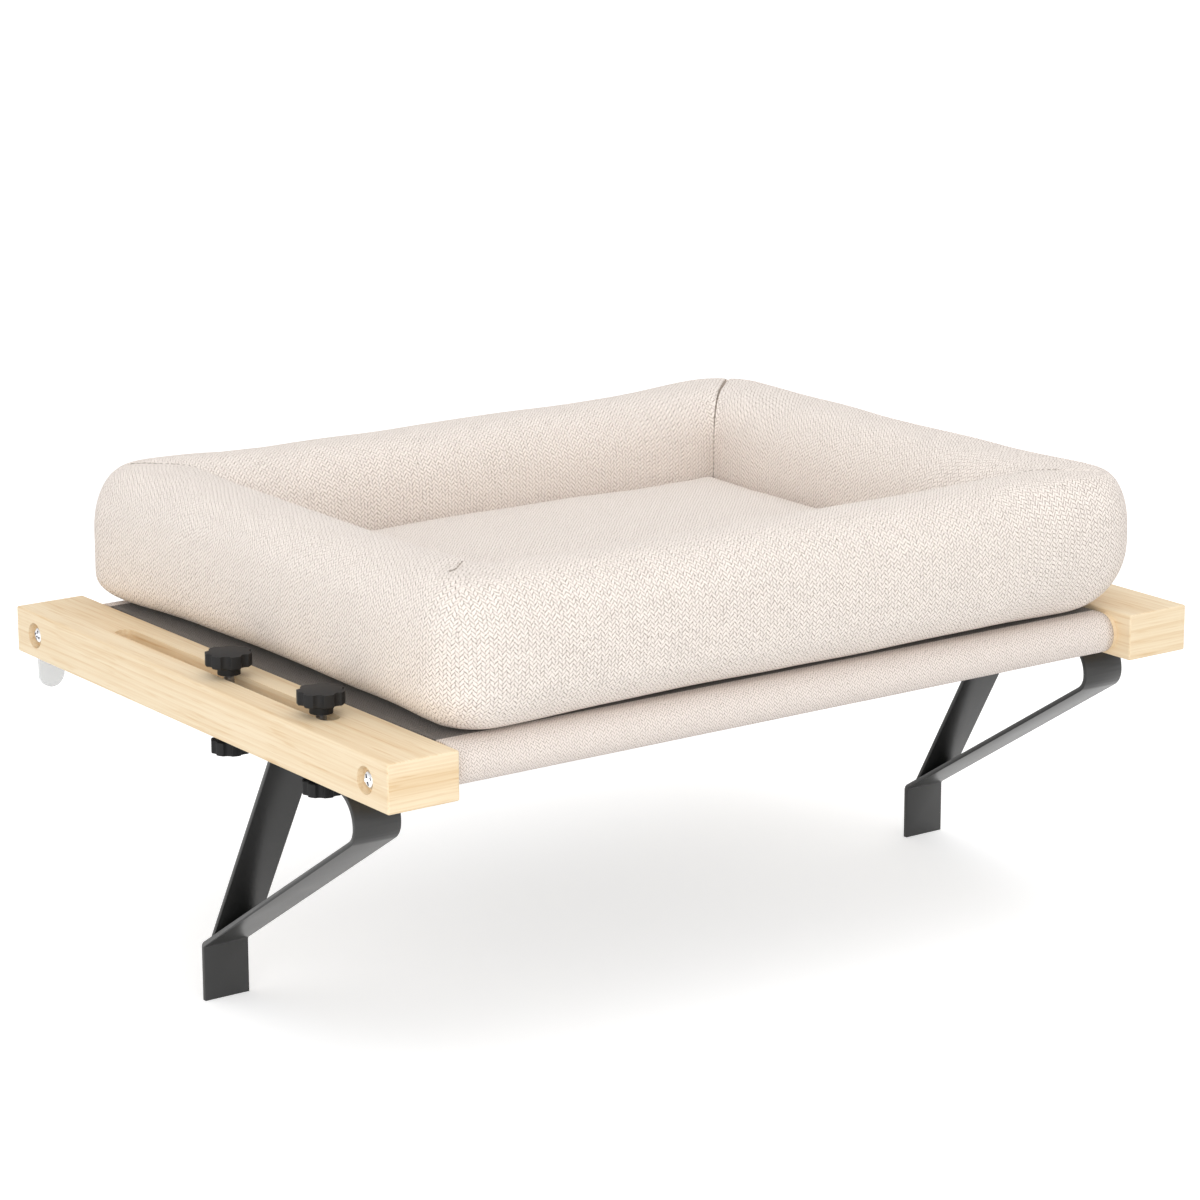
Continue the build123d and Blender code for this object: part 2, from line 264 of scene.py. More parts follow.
def wood_grain_group():
    """Growth rings round a far pith that runs along Y, with fine streaks and short resin lines."""
    tree, ins = new_group(
        "ShaderNodeTree", "wood_grain", Vector=(0, 0, 0), Pith=(0.0, 0.0, -0.1), Ring_Spacing=0.004,
        Light=(0.9, 0.78, 0.58, 1), Dark=(0.8, 0.64, 0.42, 1), Contrast=0.6,
    )

    def drawn_out(share, scale, detail):
        """Noise that is stretched along Y."""
        drawn = vector_calc("MULTIPLY", ins["Vector"], (1.0, share, 1.0))
        return clouds(drawn, scale, detail)["Fac"]

    centred = vector_calc("SUBTRACT", ins["Vector"], ins["Pith"])
    flat = vector_calc("MULTIPLY", centred, (1.0, 0.0, 1.0))
    distance = place("ShaderNodeVectorMath", {0: flat}, operation="LENGTH")["Value"]
    rings = calc("DIVIDE", distance, ins["Ring Spacing"])
    saw = calc("FRACT", calc("MULTIPLY_ADD", drawn_out(0.055, 38.0, 2.0), 2.6, rings))
    fall = calc("SUBTRACT", 1.0, calc("POWER", saw, 22.0))
    band = calc("MULTIPLY", calc("POWER", saw, 2.6), fall)
    fine = drawn_out(0.02, 900.0, 4.0)
    streak = calc("MULTIPLY", calc("SUBTRACT", fine, 0.5), 1.5)
    lines = calc("SUBTRACT", drawn_out(0.05, 620.0, 1.0), 0.6)
    resin = calc("MULTIPLY", lines, 9.0, clamp=True)
    broad = calc("SUBTRACT", drawn_out(0.03, 85.0, 3.0), 0.5)
    body = calc("MULTIPLY_ADD", broad, 2.4, 0.25)
    share = calc("ADD", calc("MULTIPLY_ADD", band, 0.55, streak), body)
    share = calc("MULTIPLY_ADD", resin, 0.55, share)
    weight = calc("MULTIPLY", share, ins["Contrast"], clamp=True)
    return lead_out(
        tree,
        Color=mix_colour(weight, ins["Light"], ins["Dark"]),
        Height=calc("MULTIPLY_ADD", band, -0.6, fine),
        Roughness=calc("MULTIPLY_ADD", fine, 0.16, 0.40),
    )


def speckle_group():
    """Fine mottling for powder coat, moulded plastic and plated metal."""
    tree, ins = new_group(
        "ShaderNodeTree", "speckle", Vector=(0, 0, 0), Grain=1500.0, Base=(0.1, 0.1, 0.1, 1),
        Worn=(0.2, 0.2, 0.2, 1), Wear=0.3, Low_Roughness=0.4, High_Roughness=0.5,
    )
    fine = clouds(ins["Vector"], ins["Grain"], 3.0)["Fac"]
    cloud = clouds(ins["Vector"], 28.0, 4.0)["Fac"]
    worn = calc("MULTIPLY", calc("MULTIPLY", cloud, fine), ins["Wear"], clamp=True)
    span = calc("SUBTRACT", ins["High Roughness"], ins["Low Roughness"])
    return lead_out(
        tree,
        Color=mix_colour(worn, ins["Base"], ins["Worn"]),
        Height=fine,
        Roughness=calc("MULTIPLY_ADD", cloud, span, ins["Low Roughness"]),
    )


STITCH_WEAVE = stitch_weave_group()
WOOD_GRAIN = wood_grain_group()
SPECKLE = speckle_group()


# Materials
def new_material(name):
    """Material with its node tree and its Principled BSDF."""
    material = bpy.data.materials.new(name)
    material.use_nodes = True
    return material, material.node_tree, material.node_tree.nodes["Principled BSDF"]


def grouped(group, **inputs):
    """Outputs of a shader group in a material."""
    return place("ShaderNodeGroup", inputs, node_tree=group)


def bumped(height, strength, distance):
    """Normal of a bump from a height."""
    inputs = {"Height": height, "Strength": strength, "Distance": distance}
    return place("ShaderNodeBump", inputs)["Normal"]


def fabric(name, column, stitch, light, dark, depth, painted_shade=None):
    """Woven cloth on the piece's own UV map, which is in metres; painted_shade is (half length,
    tint): a painted shade that darkens the cloth where |Y| is under the half length.
    """
    material, tree, shader = new_material(name)
    coordinates = place("ShaderNodeTexCoord", tree=tree)
    weave = grouped(
        STITCH_WEAVE, Vector=coordinates["UV"], Column_Width=column, Stitch_Length=stitch,
        Slant=0.8, Unevenness=0.6,
    )
    middle = tuple(d + (l - d) * 0.75 for d, l in zip(dark, light))
    # The ramp's dark end paints shade into the gaps between the stitches; the rest of its spread is
    # the yarn's random mottling
    tone = ramp(weave["Tone"], [(0.61, dark), (0.81, middle), (0.96, light)])
    # Painted shade: within the half length, top and underneath, the cloth is multiplied by a grey
    # tint that stands in for the shadow under the cushion
    if painted_shade is not None:
        half_length, shade_tint = painted_shade
        along = calc("ABSOLUTE", parts_of(coordinates["Object"])["Y"])
        shaded_tone = mix_colour(1.0, tone, shade_tint, blend="MULTIPLY")
        tone = mix_colour(calc("LESS_THAN", along, half_length), tone, shaded_tone)
    looks = dict(
        Base_Color=tone, Roughness=0.95, Specular_IOR_Level=0.2, Sheen_Weight=0.1,
        Sheen_Roughness=0.5, Sheen_Tint=(1.0, 0.97, 0.93, 1),
        Normal=bumped(weave["Height"], 1.0, depth),
    )
    fill(shader, looks)
    return material


def wood(name, pith, spacing, light, dark, contrast, end=None):
    """Planed timber, streaked across its ends past |Y| = end; a dowel has its grain along X."""
    material, tree, shader = new_material(name)
    vector = place("ShaderNodeTexCoord", tree=tree)["Object"]
    if end is None:
        quarter_turn = (0, 0, math.pi / 2)
        vector = place("ShaderNodeMapping", {"Vector": vector, "Rotation": quarter_turn})[0]
    else:
        axes = parts_of(vector)
        across = vector_of(axes["Y"], axes["X"], axes["Z"])
        at_end = calc("GREATER_THAN", calc("ABSOLUTE", axes["Y"]), end)
        vector = place("ShaderNodeMix", {0: at_end, 4: vector, 5: across}, data_type="VECTOR")[1]
    grain = grouped(
        WOOD_GRAIN, Vector=vector, Pith=pith, Ring_Spacing=spacing, Light=(*light, 1),
        Dark=(*dark, 1), Contrast=contrast,
    )
    looks = dict(
        Base_Color=grain["Color"], Roughness=grain["Roughness"], Specular_IOR_Level=0.35,
        Normal=bumped(grain["Height"], 0.25, 0.00012),
    )
    fill(shader, looks)
    return material


def finish(name, base, worn, wear, roughness, grain, bump=0.6, **looks):
    """Powder coat, plastic, thread or plated metal; looks are other inputs of the shader."""
    material, tree, shader = new_material(name)
    speckle = grouped(
        SPECKLE, Vector=place("ShaderNodeTexCoord", tree=tree)["Object"], Grain=grain,
        Base=(*base, 1), Worn=(*worn, 1), Wear=wear, Low_Roughness=roughness[0],
        High_Roughness=roughness[1],
    )
    looks |= dict(Base_Color=speckle["Color"], Roughness=speckle["Roughness"])
    if bump:
        looks["Normal"] = bumped(speckle["Height"], bump, 0.00002)
    fill(shader, looks)
    return material


CUSHION_FABRIC = fabric(
    "cushion_fabric", 0.0023, 0.0026, (1.0, 0.917, 0.853), (0.38, 0.295, 0.24), 0.0006
)
# Painted shade: grey tint on the sling's cloth between the sleeves, standing in for the shadow
# under the cushion
PAINTED_SHADE_TINT = (0.25, 0.255, 0.255, 1)
SLING_FABRIC = fabric(
    "sling_fabric", 0.0017, 0.0020, (0.905, 0.82, 0.765), (0.36, 0.29, 0.24), 0.00028,
    painted_shade=(0.1725, PAINTED_SHADE_TINT),
)
RAIL_PINE = {
    side: wood(
        f"{side}_rail_pine", (way * 0.25 + 0.04, 0.0, -0.26), 0.0045, (0.915, 0.762, 0.537),
        (0.70, 0.455, 0.21), 0.55, end=0.1998,
    )
    for side, way in SIDES.items()
}
DOWEL_BEECH = wood(
    "dowel_beech", (0.03, 0.0, 0.09), 0.003, (0.90, 0.74, 0.52), (0.72, 0.53, 0.32), 0.5
)
BLACK_STEEL = finish(
    "black_powder_coat", (0.026, 0.026, 0.026), (0.055, 0.055, 0.053), 0.5, (0.27, 0.36), 2600.0
)
BLACK_PLASTIC = finish(
    "black_moulded_plastic", (0.012, 0.012, 0.0125), (0.026, 0.026, 0.026), 0.5, (0.5, 0.64),
    3200.0, Specular_IOR_Level=0.3,
)
CHROME = finish(
    "chrome_screw", (0.82, 0.82, 0.83), (0.7, 0.7, 0.7), 0.4, (0.06, 0.14), 900.0, Metallic=1.0
)
ZINC = finish(
    "zinc_thread", (0.46, 0.46, 0.47), (0.30, 0.30, 0.31), 0.7, (0.25, 0.42), 1200.0, Metallic=1.0
)
BRASS = finish(
    "brass_insert", (0.72, 0.55, 0.26), (0.5, 0.36, 0.16), 0.5, (0.2, 0.35), 900.0, Metallic=1.0
)
# Partly painted shade: the seam thread is dark so that the mitre creases and the near pucker read
# as shaded lines
SEAM_THREAD_AND_SHADE = finish(
    "seam_thread_and_shade", (0.36, 0.31, 0.26), (0.28, 0.24, 0.20), 0.8, (0.8, 0.95), 5000.0
)
# Painted shade: the hem thread is as dark as the painted shade on the sling cloth it is sewn
# through
SHADED_HEM_THREAD = finish("hem_thread_painted_shade", (0.27, 0.245, 0.22), (0.2, 0.18, 0.16), 0.8, (0.8, 0.95), 5000.0)
CLEAR_PLASTIC = finish(
    "clear_plate_plastic", (0.60, 0.62, 0.63), (0.75, 0.76, 0.77), 0.4, (0.12, 0.24), 1400.0,
    bump=0.0, Alpha=0.45, Coat_Weight=0.3,
)


# Geometry Nodes: what repeats, such as screws, threads and stitches
def new_maker(name, **inputs):
    """Geometry node group with named inputs."""
    sockets = {"Geometry": GEOMETRY} | inputs | {"Material": MATERIAL}
    return new_group("GeometryNodeTree", name, **sockets)


def moved(geometry, z=None, **inputs):
    """Move a geometry along Z, turn or scale it."""
    if z is not None:
        inputs["Translation"] = vector_of(z=z)
    return place("GeometryNodeTransform", {"Geometry": geometry} | inputs)[0]


def cylinder(radius, depth, vertices, side_rings=1, fill_rings=1):
    """Upright cylinder round the origin."""
    inputs = dict(Vertices=vertices, Radius=radius, Depth=depth)
    inputs |= dict(Side_Segments=side_rings, Fill_Segments=fill_rings)
    return place("GeometryNodeMeshCylinder", inputs)[0]


def joined(*parts):
    """Join geometries."""
    tree = parts[0].id_data
    node = tree.nodes.new("GeometryNodeJoinGeometry")
    for part in parts:
        tree.links.new(part, node.inputs[0])
    return node.outputs[0]


def turned_to(vector):
    """Rotation that turns Z along a vector."""
    return place("FunctionNodeAlignRotationToVector", {"Vector": vector}, axis="Z")[0]


def on_points(tree, ins, points, part, **inputs):
    """Repeat a part on points, realise the copies, set their material and lead to the output."""
    inputs |= {"Points": points, "Instance": part}
    copies = place("GeometryNodeInstanceOnPoints", inputs)[0]
    real = place("GeometryNodeRealizeInstances", {"Geometry": copies})[0]
    coat = {"Geometry": real, "Material": ins["Material"]}
    return lead_out(tree, Geometry=place("GeometryNodeSetMaterial", coat)[0])


def stitch_row_tree():
    """Thread stitches laid end to end along the given edges."""
    tree, ins = new_maker(
        "stitch_row", Pitch=0.0035, Stitch_Length=0.0026, Thread_Radius=0.0003, Seed=3,
    )
    path = place("GeometryNodeMeshToCurve", {"Mesh": ins["Geometry"]})[0]
    even = {"Curve": path, "Length": ins["Pitch"]}
    points = place("GeometryNodeResampleCurve", even, mode="LENGTH")[0]
    bead = place("GeometryNodeMeshIcoSphere", {"Radius": 1.0, "Subdivisions": 1}, tree=tree)[0]
    half = calc("MULTIPLY", ins["Stitch Length"], 0.5)
    stitch = moved(bead, Scale=vector_of(ins["Thread Radius"], ins["Thread Radius"], half))
    turn = turned_to(place("GeometryNodeInputTangent", tree=tree)[0])
    spread = {2: 0.85, 3: 1.1, "Seed": ins["Seed"]}
    vary = place("FunctionNodeRandomValue", spread, data_type="FLOAT")[1]
    return on_points(tree, ins, points, stitch, Rotation=turn, Scale=vary)


def cross_screw_tree():
    """Crowned screw heads with a cross recess and their shanks, along the points' own axes."""
    tree, ins = new_maker(
        "cross_screw", Head_Radius=0.004, Head_Height=0.003, Crown=0.001, Recess_Length=0.005,
        Recess_Width=0.0012, Recess_Depth=0.0016, Shank_Radius=0.002, Shank_Length=0.02,
    )
    # Head: a drum whose top face is lifted to a dome
    side = calc("SUBTRACT", ins["Head Height"], ins["Crown"])
    drum = cylinder(ins["Head Radius"], side, 40, side_rings=2, fill_rings=6)
    drum = moved(drum, z=calc("MULTIPLY", side, 0.5))
    axes = parts_of(place("GeometryNodeInputPosition", tree=tree)[0])
    squares = [calc("MULTIPLY", axes[axis], axes[axis]) for axis in "XY"]
    from_axis = calc("SQRT", calc("ADD", *squares))
    share = calc("DIVIDE", from_axis, ins["Head Radius"], clamp=True)
    dome = calc("SQRT", calc("SUBTRACT", 1.0, calc("POWER", share, 2.6), clamp=True))
    is_top = calc("GREATER_THAN", axes["Z"], calc("MULTIPLY", side, 0.99))
    lift = vector_of(z=calc("MULTIPLY", calc("MULTIPLY", dome, ins["Crown"]), is_top))
    crowned = place("GeometryNodeSetPosition", {"Geometry": drum, "Offset": lift})[0]

    # Recess: two crossed bars cut away
    deep = calc("MULTIPLY", ins["Recess Depth"], 2.0)
    bar_size = vector_of(ins["Recess Length"], ins["Recess Width"], deep)
    bar = place("GeometryNodeMeshCube", {"Size": bar_size})[0]
    head = tree.nodes.new("GeometryNodeMeshBoolean")
    head.operation = "DIFFERENCE"
    tree.links.new(crowned, head.inputs[0])
    for angle in (0, math.pi / 2):
        cutter = moved(bar, z=ins["Head Height"], Rotation=(0, 0, angle))
        tree.links.new(cutter, head.inputs[1])

    shank = cylinder(ins["Shank Radius"], ins["Shank Length"], 20)
    shank = moved(shank, z=calc("MULTIPLY", ins["Shank Length"], -0.5))

    def attribute(name, kind):
        """Value that each point carries."""
        inputs = {"Name": name}
        return place("GeometryNodeInputNamedAttribute", inputs, tree=tree, data_type=kind)[0]

    spin = {"Axis": (0, 0, 1), "Angle": attribute("spin", "FLOAT")}
    both = dict(
        Rotation=turned_to(attribute("axis", "FLOAT_VECTOR")),
        Rotate_By=place("FunctionNodeAxisAngleToRotation", spin)[0],
    )
    turn = place("FunctionNodeRotateRotation", both, rotation_space="LOCAL")[0]
    screw = joined(head.outputs[0], shank)
    return on_points(tree, ins, ins["Geometry"], screw, Rotation=turn)


def threaded_rod_tree():
    """Upright rod with a helical thread, its foot at each given point."""
    tree, ins = new_maker(
        "threaded_rod", Core_Radius=0.0026, Outer_Radius=0.003, Length=0.05, Pitch=0.001,
        Bare_End=0.0006,
    )
    core = cylinder(ins["Core Radius"], ins["Length"], 24)
    core = moved(core, z=calc("MULTIPLY", ins["Length"], 0.5))
    ridge = calc("SUBTRACT", ins["Outer Radius"], ins["Core Radius"])
    rise = calc("SUBTRACT", ins["Length"], calc("MULTIPLY", ins["Bare End"], 2.0))
    helix = dict(
        Resolution=18, Rotations=calc("DIVIDE", rise, ins["Pitch"]),
        Start_Radius=ins["Core Radius"], End_Radius=ins["Core Radius"], Height=rise,
    )
    spiral = moved(place("GeometryNodeCurveSpiral", helix)[0], z=ins["Bare End"])
    section = place("GeometryNodeCurvePrimitiveCircle", {"Resolution": 6, "Radius": ridge})[0]
    sweep = dict(Curve=spiral, Profile_Curve=section, Fill_Caps=True)
    thread = place("GeometryNodeCurveToMesh", sweep)[0]
    return on_points(tree, ins, ins["Geometry"], joined(core, thread))


STITCH_ROW = stitch_row_tree()
CROSS_SCREW = cross_screw_tree()
THREADED_ROD = threaded_rod_tree()


# Mesh helpers; a list of points is in millimetres, a mesh in metres
def lengths_along(points):
    """Distance along a line from its first point to each one."""
    return np.concatenate([[0], np.cumsum(np.hypot(*np.diff(np.array(points), axis=0).T))])


def add_object(name, data):
    """New object at the origin."""
    obj = bpy.data.objects.new(name, data)
    bpy.context.scene.collection.objects.link(obj)
    return obj


def new_mesh(name, points, edges, faces):
    """Mesh from points in millimetres."""
    mesh = bpy.data.meshes.new(name)
    mesh.from_pydata([tuple(c * MM for c in p) for p in points], edges, faces)
    return mesh


def evaluated_mesh(obj):
    """Plain mesh of an object with its modifiers."""
    graph = bpy.context.evaluated_depsgraph_get()
    return bpy.data.meshes.new_from_object(
        obj.evaluated_get(graph), preserve_all_data_layers=True, depsgraph=graph
    )


def apply_modifier(obj, kind, **settings):
    """Finish a piece's mesh with a modifier."""
    set_all(obj.modifiers.new(kind.lower(), kind), settings)
    made, old = evaluated_mesh(obj), obj.data
    obj.modifiers.clear()
    obj.data = made
    bpy.data.meshes.remove(old)
    made.name = obj.name


def points_of(obj, field="co"):
    """Positions in metres of the vertices, or their normals."""
    return np.array([getattr(v, field) for v in obj.data.vertices])


def move_points(obj, points):
    """Put the vertices at the positions, in metres."""
    obj.data.vertices.foreach_set("co", points.ravel())
    obj.data.update()


def piece_from(name, points, faces, material, uvs=None):
    """Smooth piece from points; uvs has one pair in metres per corner."""
    mesh = new_mesh(name, points, [], faces)
    if uvs is not None:
        layer = mesh.uv_layers.new(name="UVMap")
        layer.data.foreach_set("uv", np.array(uvs, np.float32).ravel())
    mesh.shade_smooth()
    mesh.materials.append(material)
    return add_object(name, mesh)


def grown(name, tree, points, sizes, edges=(), attributes=None, **others):
    """Piece that a node tree grows on points, as a plain mesh; sizes are in millimetres."""
    seeds = new_mesh(name + "_seeds", points, edges, [])
    for label, (kind, field, rows) in (attributes or {}).items():
        layer = seeds.attributes.new(label, kind, "POINT")
        layer.data.foreach_set(field, np.array(rows, np.float32).ravel())
    holder = add_object(name + "_seeds", seeds)
    maker = holder.modifiers.new("grow", "NODES")
    maker.node_group = tree
    values = {spaced(label): size * MM for label, size in sizes.items()} | others
    for item in tree.interface.items_tree:
        if item.in_out == "INPUT" and item.name in values:
            maker[item.identifier] = values[item.name]
    mesh = evaluated_mesh(holder)
    mesh.name = name
    bpy.data.objects.remove(holder)
    bpy.data.meshes.remove(seeds)
    mesh.shade_smooth()
    mesh.set_sharp_from_angle(angle=math.radians(30))
    return add_object(name, mesh)


def node_body(node):
    """Name of the body that holds a node."""
    return frame["nodes"][node]["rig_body"]


def box_mm(node):
    """Lowest and highest corner of a CAD node, in millimetres."""
    return [np.array(corner) * 1000 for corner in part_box(node)]


def eased_copy(node, name):
    """Black steel copy of a CAD node with its sharp edges eased; it stands for the node."""
    mesh = frame["nodes"][node].data.copy()
    mesh.name = name
    obj = add_object(name, mesh)
    work = bmesh.new()
    work.from_mesh(mesh)
    bmesh.ops.remove_doubles(work, verts=work.verts, dist=1e-6)
    bmesh.ops.dissolve_limit(
        work, angle_limit=math.radians(1), verts=work.verts, edges=work.edges, delimit=set()
    )
    work.to_mesh(mesh)
    work.free()
    mesh.materials.clear()
    mesh.materials.append(BLACK_STEEL)
    mesh.shade_smooth()
    apply_modifier(
        obj, "BEVEL", width=0.35 * MM, segments=2, limit_method="ANGLE",
        angle_limit=math.radians(30), harden_normals=True,
    )
    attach(obj, node_body(node))
    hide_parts(node)


def aimed(name, data, location, direction, roll=0.0):
    """Camera or lamp at a place, looking along a direction."""
    obj = add_object(name, data)
    obj.location = location
    obj.rotation_mode = "QUATERNION"
    turn = Matrix.Rotation(roll, 3, "Z").to_quaternion()
    obj.rotation_quaternion = direction.to_track_quat("-Z", "Y") @ turn
    return obj


# Camera, solved from the corners of the two rails in the picture; 1200 x 1200 frame
CAMERA_PLACE = (-1.2892, -1.8005, 0.5923)
AZIMUTH, ELEVATION, ROLL = (math.radians(a) for a in (-35.595, 14.245, -0.158))
camera_data = bpy.data.cameras.new("camera")
set_all(camera_data, {"lens": 117.918, "sensor_width": 36, "clip_end": 20})
back = Vector(
    (
        math.sin(AZIMUTH) * math.cos(ELEVATION),
        -math.cos(AZIMUTH) * math.cos(ELEVATION),
        math.sin(ELEVATION),
    )
)
scene = bpy.context.scene
scene.camera = aimed("camera", camera_data, CAMERA_PLACE, -back, ROLL)
scene.view_settings.view_transform = "Standard"


def background_rays(tree):
    """Light Path outputs, and 1 for the rays that see a white background."""
    rays = place("ShaderNodeLightPath", tree=tree)
    indirect = calc("MAXIMUM", rays["Is Glossy Ray"], rays["Is Transmission Ray"])
    return rays, calc("MAXIMUM", rays["Is Camera Ray"], indirect)


# World: pale all round, white where it is seen or mirrored, with a dim band above for gloss
AMBIENT = 0.88
DIM_CEILING = ((0.12, 1.0), (0.25, 0.4), (0.4, 0.25), (0.6, 1.0))
scene.world = bpy.data.worlds.new("studio")
scene.world.use_nodes = True
sky = scene.world.node_tree
sky.nodes.clear()
rays, seen = background_rays(sky)
level = calc("MULTIPLY_ADD", seen, 1.0 - AMBIENT, AMBIENT)
upward = parts_of(place("ShaderNodeTexCoord", tree=sky)["Object"])["Z"]
dim = ramp(upward, [(height, (grey, grey, grey)) for height, grey in DIM_CEILING])
mirrored = mix_colour(rays["Is Glossy Ray"], (1, 1, 1, 1), dim)
strength = calc("MULTIPLY", level, mirrored)
light = place("ShaderNodeBackground", {"Color": (1, 1, 1, 1), "Strength": strength})
place("ShaderNodeOutputWorld", {"Surface": light[0]})

# Two large square softboxes: name, place, target, size, watts
for name, location, target, size, watts in (
    ("key_softbox", (-1.7, -1.9, 0.75), (0, 0, -0.02), 1.4, 18.2),
    ("top_softbox", (0.4, -0.4, 2.2), (0, 0, 0), 1.6, 6.5),
):
    lamp_data = bpy.data.lights.new(name, "AREA")
    set_all(lamp_data, {"size": size, "energy": watts})
    lamp = aimed(name, lamp_data, location, Vector(target) - Vector(location))
    lamp.visible_camera = False

# Floor: white to the camera outside the object's soft shadow
FLOOR_REACH, FLOOR_GLOW = 12000, 0.45
floor_material, floor_tree, floor_shader = new_material("studio_floor")
floor_looks = dict(
    Base_Color=(0.86, 0.86, 0.86, 1), Roughness=0.95, Specular_IOR_Level=0.0,
    Emission_Color=(1, 1, 1, 1),
    Emission_Strength=calc("MULTIPLY", background_rays(floor_tree)[1], FLOOR_GLOW),
)
fill(floor_shader, floor_looks)
floor_z = cad_low.z * 1000
floor = piece_from(
    "studio_floor",
    [(x * FLOOR_REACH, y * FLOOR_REACH, floor_z) for x, y in ((-1, -1), (1, -1), (1, 1), (-1, 1))],
    [(0, 1, 2, 3)],
    floor_material,
)
floor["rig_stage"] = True

# Materials of the CAD nodes that stay
node_materials = {
    **{f"{side}_rail": RAIL_PINE[side] for side in SIDES},
    **{f"{side}_back_plate": CLEAR_PLASTIC for side in SIDES},
    **{f"{end}_dowel": DOWEL_BEECH for end in ("front", "rear")},
    **{f"{clamp}_nut_insert": BRASS for clamp in CLAMPS},
    **{f"{clamp}_{part}": BLACK_PLASTIC for clamp in CLAMPS for part in ("knob", "star_nut")},
}
for node, material in node_materials.items():
    slots = frame["nodes"][node].data.materials
    slots.clear()
    slots.append(material)


# Rail screws and back plate screws, grown where the CAD ones are
def screw_set(name, nodes, seats, **sizes):
    """Cross-head screws at the seats, each a (point, axis, turn), in place of the CAD nodes."""
    points, axes, turns = zip(*seats)
    screws = grown(
        name,
        CROSS_SCREW,
        points,
        sizes,
        attributes={
            "axis": ("FLOAT_VECTOR", "vector", axes),
            "spin": ("FLOAT", "value", [math.radians(turn) for turn in turns]),
        },
        Material=CHROME,
    )
    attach(screws, "frame")
    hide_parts(*nodes)


SEAT_DEPTH = 3.4
rail_screw_nodes = [f"{side}_{end}_rail_screw" for side in SIDES for end in ("front", "rear")]
rail_seats = []
for node, turn in zip(rail_screw_nodes, (20, 65, 35, 50)):
    low, high = box_mm(node)
    way = SIDES[node.split("_")[0]]
    outer = low[0] if way < 0 else high[0]
    middle = (low + high) / 2
    rail_seats.append(((outer - way * SEAT_DEPTH, middle[1], middle[2]), (way, 0, 0), turn))
low, high = box_mm(rail_screw_nodes[0])
screw_set(
    "rail_screws", rail_screw_nodes, rail_seats, Head_Radius=5.0, Head_Height=4.0, Crown=1.9,
    Recess_Length=6.4, Recess_Width=1.5, Recess_Depth=2.0, Shank_Radius=2.5,
    Shank_Length=high[0] - low[0] - SEAT_DEPTH,
)

PLATE_HEAD_RADIUS, PLATE_HEAD_HEIGHT = 3.5, 2.4
plate_screw_nodes = [f"{side}_back_plate_screws" for side in SIDES]
plate_seats, turns = [], iter((10, 40, 70, 25))
for node in plate_screw_nodes:
    low, high = box_mm(node)
    for z in (low[2] + PLATE_HEAD_RADIUS, high[2] - PLATE_HEAD_RADIUS):
        seat = ((low[0] + high[0]) / 2, high[1] - PLATE_HEAD_HEIGHT, z)
        plate_seats.append((seat, (0, 1, 0), next(turns)))
low, high = box_mm(plate_screw_nodes[0])
screw_set(
    "back_plate_screws", plate_screw_nodes, plate_seats, Head_Radius=PLATE_HEAD_RADIUS,
    Head_Height=PLATE_HEAD_HEIGHT, Crown=0.9, Recess_Length=4.0, Recess_Width=0.95,
    Recess_Depth=1.4, Shank_Radius=1.75, Shank_Length=high[1] - low[1] - PLATE_HEAD_HEIGHT,
)

# Threaded studs
for clamp in CLAMPS:
    low, high = box_mm(f"{clamp}_stud")
    middle = (low + high) / 2
    stud = grown(
        f"{clamp}_threaded_stud",
        THREADED_ROD,
        [(middle[0], middle[1], low[2])],
        dict(
            Core_Radius=2.65, Outer_Radius=(high[0] - low[0]) / 2, Length=high[2] - low[2],
            Pitch=1.0, Bare_End=0.6,
        ),
        Material=ZINC,
    )
    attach(stud, node_body(f"{clamp}_stud"))
    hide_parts(f"{clamp}_stud")

# Brackets with eased edges
for side in SIDES:
    for part in ("bar", "strut"):
        eased_copy(f"{side}_bracket_{part}", f"{side}_{part}_steel")

# Cushion: a stuffed rim swept round the floor pad, then inflated as cloth
rim_nodes = [f"cushion_{side}_bolster" for side in ("front", "right", "back", "left")]
RIM_BASE = float(min(box_mm(node)[0][2] for node in rim_nodes)) + 0.05
RIM_FRONT, RIM_BACK, RIM_LEFT, RIM_RIGHT = -195.4, 204.2, -240.0, 250.0
RIM_WIDTH, RIM_INNER = 68.0, 25.0
# Corner of the rim: its place along X, outer radius and height, then the half axes of the rounded
# edge at the foot and of the shoulder; the middles of the sides have the last three
Corner = namedtuple("Corner", "x radius height foot shoulder")
RIM_CORNERS = {
    "front_right": Corner(252.0, 37.0, 82.0, (31.0, 41.0), (13.0, 30.0)),
    "back_right": Corner(254.0, 37.0, 81.0, (31.0, 38.0), (15.0, 32.0)),
    "back_left": Corner(-233.4, 31.5, 81.8, (28.5, 17.0), (19.0, 38.0)),
    "front_left": Corner(-231.6, 30.5, 81.8, (27.5, 24.0), (20.0, 30.0)),
}
CORNER_ORDER = list(RIM_CORNERS)
RIM_MIDDLE = Corner(None, None, 80.0, (37.0, 21.0), (19.0, 18.0))
RIM_DRAW_IN = (0.8, -1.5, 6.5, 2.2)  # front, right, back, left
CORNER_BLEND = 80.0
STATION = 5.6  # between the sections along a straight side
# Shares of a corner's quarter turn that get a section, close together at the mitre
MITRE = 0.5
TURNS = (0, 0.09, 0.18, 0.27, 0.35, 0.42, 0.465, 0.487, MITRE)
TURNS += (0.513, 0.535, 0.58, 0.65, 0.73, 0.82, 0.91)
# Points of a section: the first of its outer side, the middle of its crest, where each mitre's
# seam starts, and the points at its two feet that are held while it is inflated
OUTER_START, CREST = 16, 32
SEAM_START = {"front_right": 30, "back_right": 28, "back_left": 27, "front_left": 37}
FOOT_HELD, INNER_HELD = 7, 3


def smooth_step(low, high, value):
    """0 before low, 1 after high and an even ease between."""
    t = min(max((value - low) / (high - low), 0.0), 1.0)
    return t * t * (3 - 2 * t)


